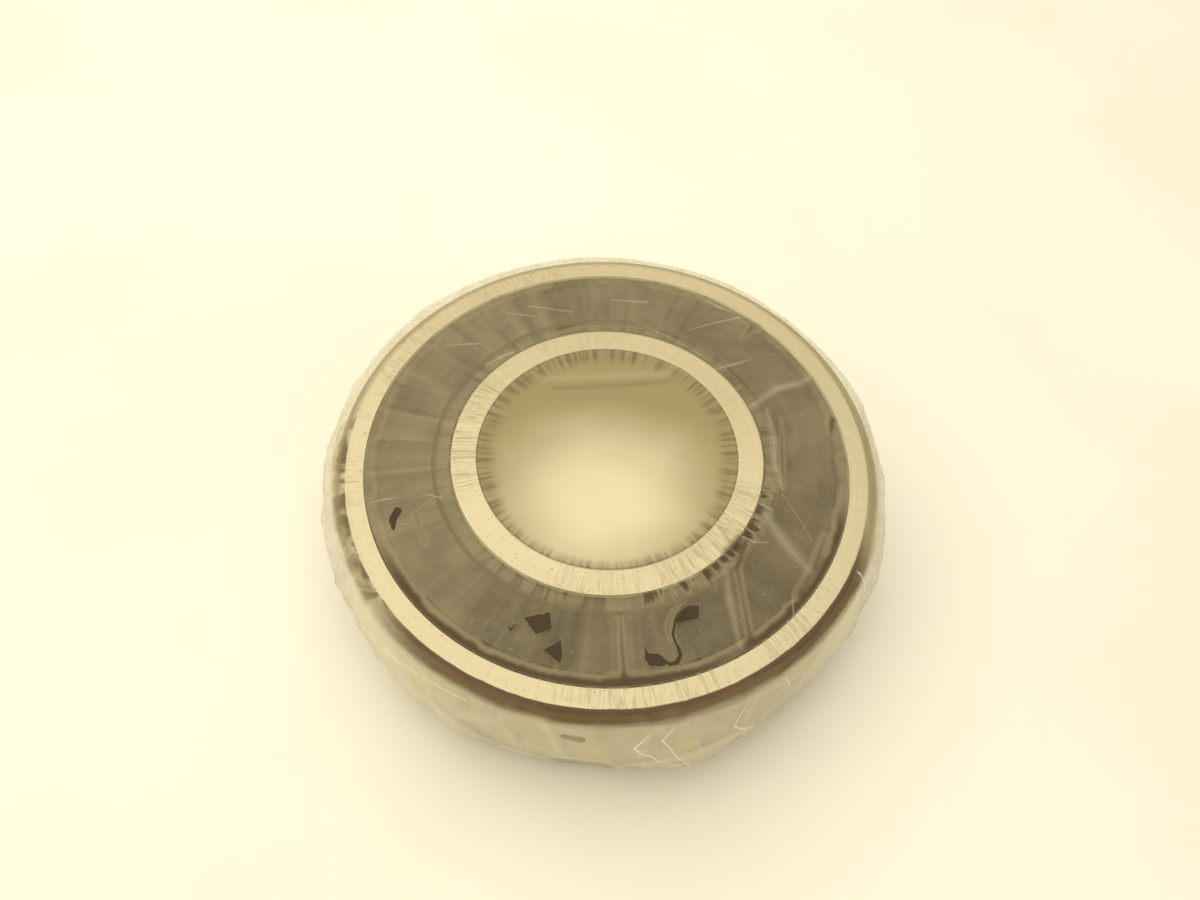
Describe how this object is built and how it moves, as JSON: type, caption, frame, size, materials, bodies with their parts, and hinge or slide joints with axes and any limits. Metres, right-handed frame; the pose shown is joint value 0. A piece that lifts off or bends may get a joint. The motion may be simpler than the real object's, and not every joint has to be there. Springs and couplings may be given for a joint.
{
  "type": "angular contact bearing",
  "caption": "Single-row angular contact ball bearing with two rings, a ball complement in a moulded cage and a rubber-faced seal on each side.",
  "frame": {"origin": "middle of the bore, on the axis and half way between the two faces", "axes": "+Z along the axis of rotation, out of the face that the outer ring's high shoulder is next to"},
  "size_m": [0.08, 0.08, 0.021],
  "materials": {
    "ring_steel": "finely ground bearing steel",
    "ball_steel": "lapped, mirror bright",
    "cage_polyamide": "moulded glass-filled polyamide",
    "seal_rubber": "moulded, satin",
    "core_steel": "pressed sheet, dull",
    "grease": "soft, wet",
    "wrap_film": "thin clear film"
  },
  "bodies": {
    "outer_ring": {"outer_ring": "ring_steel", "seal_top": "seal_rubber", "seal_core_top": "core_steel", "grease_top": "grease", "seal_bottom": "seal_rubber", "seal_core_bottom": "core_steel", "grease_bottom": "grease"},
    "inner_ring": {"inner_ring": "ring_steel"},
    "cage": {"cage": "cage_polyamide"},
    "ball_01": {"ball_01": "ball_steel"},
    "ball_02": {"ball_02": "ball_steel"},
    "ball_03": {"ball_03": "ball_steel"},
    "ball_04": {"ball_04": "ball_steel"},
    "ball_05": {"ball_05": "ball_steel"},
    "ball_06": {"ball_06": "ball_steel"},
    "ball_07": {"ball_07": "ball_steel"},
    "ball_08": {"ball_08": "ball_steel"},
    "ball_09": {"ball_09": "ball_steel"},
    "ball_10": {"ball_10": "ball_steel"},
    "ball_11": {"ball_11": "ball_steel"},
    "ball_12": {"ball_12": "ball_steel"}
  },
  "joints": [
    {"name": "inner_ring_spin", "type": "hinge", "parent": "outer_ring", "child": "inner_ring", "pos_m": [0, 0, 0], "axis": [0, 0, 1], "continuous": true},
    {"name": "cage_spin", "type": "hinge", "parent": "outer_ring", "child": "cage", "pos_m": [0, 0, 0], "axis": [0, 0, 1], "continuous": true},
    {"name": "ball_01_spin", "type": "hinge", "parent": "cage", "child": "ball_01", "pos_m": [0.02777, 0.00744, 0], "axis": [-0.6209, -0.1664, 0.766], "continuous": true},
    {"name": "ball_02_spin", "type": "hinge", "parent": "cage", "child": "ball_02", "pos_m": [0.02033, 0.02033, 0], "axis": [-0.4545, -0.4545, 0.766], "continuous": true},
    {"name": "ball_03_spin", "type": "hinge", "parent": "cage", "child": "ball_03", "pos_m": [0.00744, 0.02777, 0], "axis": [-0.1664, -0.6209, 0.766], "continuous": true},
    {"name": "ball_04_spin", "type": "hinge", "parent": "cage", "child": "ball_04", "pos_m": [-0.00744, 0.02777, 0], "axis": [0.1664, -0.6209, 0.766], "continuous": true},
    {"name": "ball_05_spin", "type": "hinge", "parent": "cage", "child": "ball_05", "pos_m": [-0.02033, 0.02033, 0], "axis": [0.4545, -0.4545, 0.766], "continuous": true},
    {"name": "ball_06_spin", "type": "hinge", "parent": "cage", "child": "ball_06", "pos_m": [-0.02777, 0.00744, 0], "axis": [0.6209, -0.1664, 0.766], "continuous": true},
    {"name": "ball_07_spin", "type": "hinge", "parent": "cage", "child": "ball_07", "pos_m": [-0.02777, -0.00744, 0], "axis": [0.6209, 0.1664, 0.766], "continuous": true},
    {"name": "ball_08_spin", "type": "hinge", "parent": "cage", "child": "ball_08", "pos_m": [-0.02033, -0.02033, 0], "axis": [0.4545, 0.4545, 0.766], "continuous": true},
    {"name": "ball_09_spin", "type": "hinge", "parent": "cage", "child": "ball_09", "pos_m": [-0.00744, -0.02777, 0], "axis": [0.1664, 0.6209, 0.766], "continuous": true},
    {"name": "ball_10_spin", "type": "hinge", "parent": "cage", "child": "ball_10", "pos_m": [0.00744, -0.02777, 0], "axis": [-0.1664, 0.6209, 0.766], "continuous": true},
    {"name": "ball_11_spin", "type": "hinge", "parent": "cage", "child": "ball_11", "pos_m": [0.02033, -0.02033, 0], "axis": [-0.4545, 0.4545, 0.766], "continuous": true},
    {"name": "ball_12_spin", "type": "hinge", "parent": "cage", "child": "ball_12", "pos_m": [0.02777, -0.00744, 0], "axis": [-0.6209, 0.1664, 0.766], "continuous": true}
  ],
  "couplings": [
    {"joint": "cage_spin", "follows": "inner_ring_spin", "ratio": 0.4154},
    {"joint": "ball_01_spin", "follows": "inner_ring_spin", "ratio": -2.199},
    {"joint": "ball_02_spin", "follows": "inner_ring_spin", "ratio": -2.199},
    {"joint": "ball_03_spin", "follows": "inner_ring_spin", "ratio": -2.199},
    {"joint": "ball_04_spin", "follows": "inner_ring_spin", "ratio": -2.199},
    {"joint": "ball_05_spin", "follows": "inner_ring_spin", "ratio": -2.199},
    {"joint": "ball_06_spin", "follows": "inner_ring_spin", "ratio": -2.199},
    {"joint": "ball_07_spin", "follows": "inner_ring_spin", "ratio": -2.199},
    {"joint": "ball_08_spin", "follows": "inner_ring_spin", "ratio": -2.199},
    {"joint": "ball_09_spin", "follows": "inner_ring_spin", "ratio": -2.199},
    {"joint": "ball_10_spin", "follows": "inner_ring_spin", "ratio": -2.199},
    {"joint": "ball_11_spin", "follows": "inner_ring_spin", "ratio": -2.199},
    {"joint": "ball_12_spin", "follows": "inner_ring_spin", "ratio": -2.199}
  ]
}
